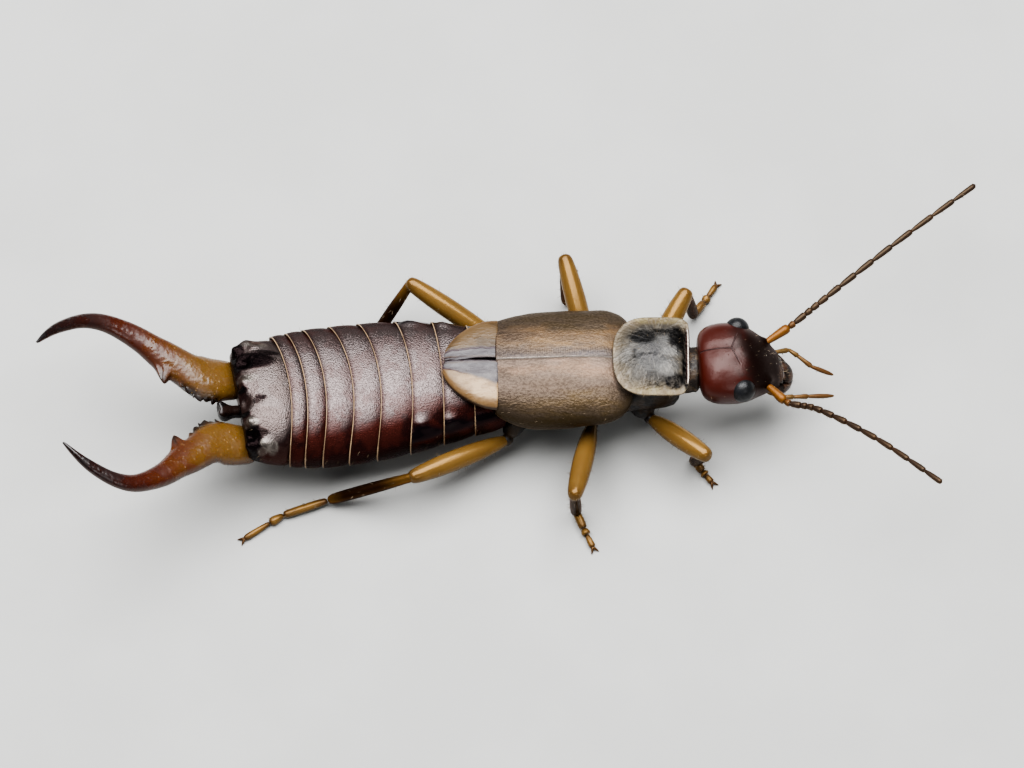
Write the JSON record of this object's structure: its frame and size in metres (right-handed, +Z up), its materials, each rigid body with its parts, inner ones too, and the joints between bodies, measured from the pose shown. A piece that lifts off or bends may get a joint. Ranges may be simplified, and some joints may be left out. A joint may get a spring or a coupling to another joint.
{
  "type": "earwig",
  "caption": "Life-size still model of a male earwig standing on its six feet: long jointed body, short wing covers, open curved pincers, bent legs and forward feelers.",
  "frame": {"origin": "middle of the model's footprint, on the floor under its feet", "axes": "+X forward, from the pincers to the head; +Y towards the insect's left side; +Z up"},
  "size_m": [0.0234, 0.0092, 0.0044],
  "materials": {
    "abdomen": "dark reddish-brown satin cuticle with a grey-lilac sheen, fine punctures and thin pale segment margins",
    "last_segment": "near-black glossy cuticle with fine grain and pale highlights",
    "forceps": "glossy horn, amber at the base, red-brown along the arms, near black at the tips",
    "thorax": "dark brown cuticle, partly hidden",
    "wing_cover": "grey-brown leathery cuticle with fine wrinkles, a lilac and peach sheen and darker sides",
    "wing_packet": "tan and cream folded wing tips with a greyish inner band and a dark seam",
    "pronotum": "dark grey to black centre with a pale translucent rim and fine radial hairs",
    "head": "glossy red-brown cuticle, darker towards the front",
    "eye": "black compound eye with fine facets",
    "mouthparts": "dark red-brown cuticle with pale specks",
    "palp": "yellow-brown cuticle",
    "antenna": "orange-brown first joint, grey-brown beaded joints after it",
    "leg": "translucent yellow-ochre cuticle with soft highlights and darker joints",
    "foot": "ochre cuticle with brown joints and dark claws"
  },
  "bodies": {
    "root": {"abdomen": "abdomen", "last_segment": "last_segment", "pygidium": "last_segment", "forceps_left": "forceps", "forceps_right": "forceps", "thorax": "thorax", "wing_cover_left": "wing_cover", "wing_cover_right": "wing_cover", "wing_packet_left": "wing_packet", "wing_packet_right": "wing_packet", "pronotum": "pronotum", "neck": "thorax", "head": "head", "eye_left": "eye", "eye_right": "eye", "mouthparts": "mouthparts", "palp_left": "palp", "palp_right": "palp", "antenna_left": "antenna", "antenna_right": "antenna", "femur_front_left": "leg", "tibia_front_left": "leg", "tarsus_front_left": "foot", "femur_front_right": "leg", "tibia_front_right": "leg", "tarsus_front_right": "foot", "femur_middle_left": "leg", "tibia_middle_left": "leg", "tarsus_middle_left": "foot", "femur_middle_right": "leg", "tibia_middle_right": "leg", "tarsus_middle_right": "foot", "femur_hind_left": "leg", "tibia_hind_left": "leg", "tarsus_hind_left": "foot", "femur_hind_right": "leg", "tibia_hind_right": "leg", "tarsus_hind_right": "foot"}
  },
  "joints": []
}
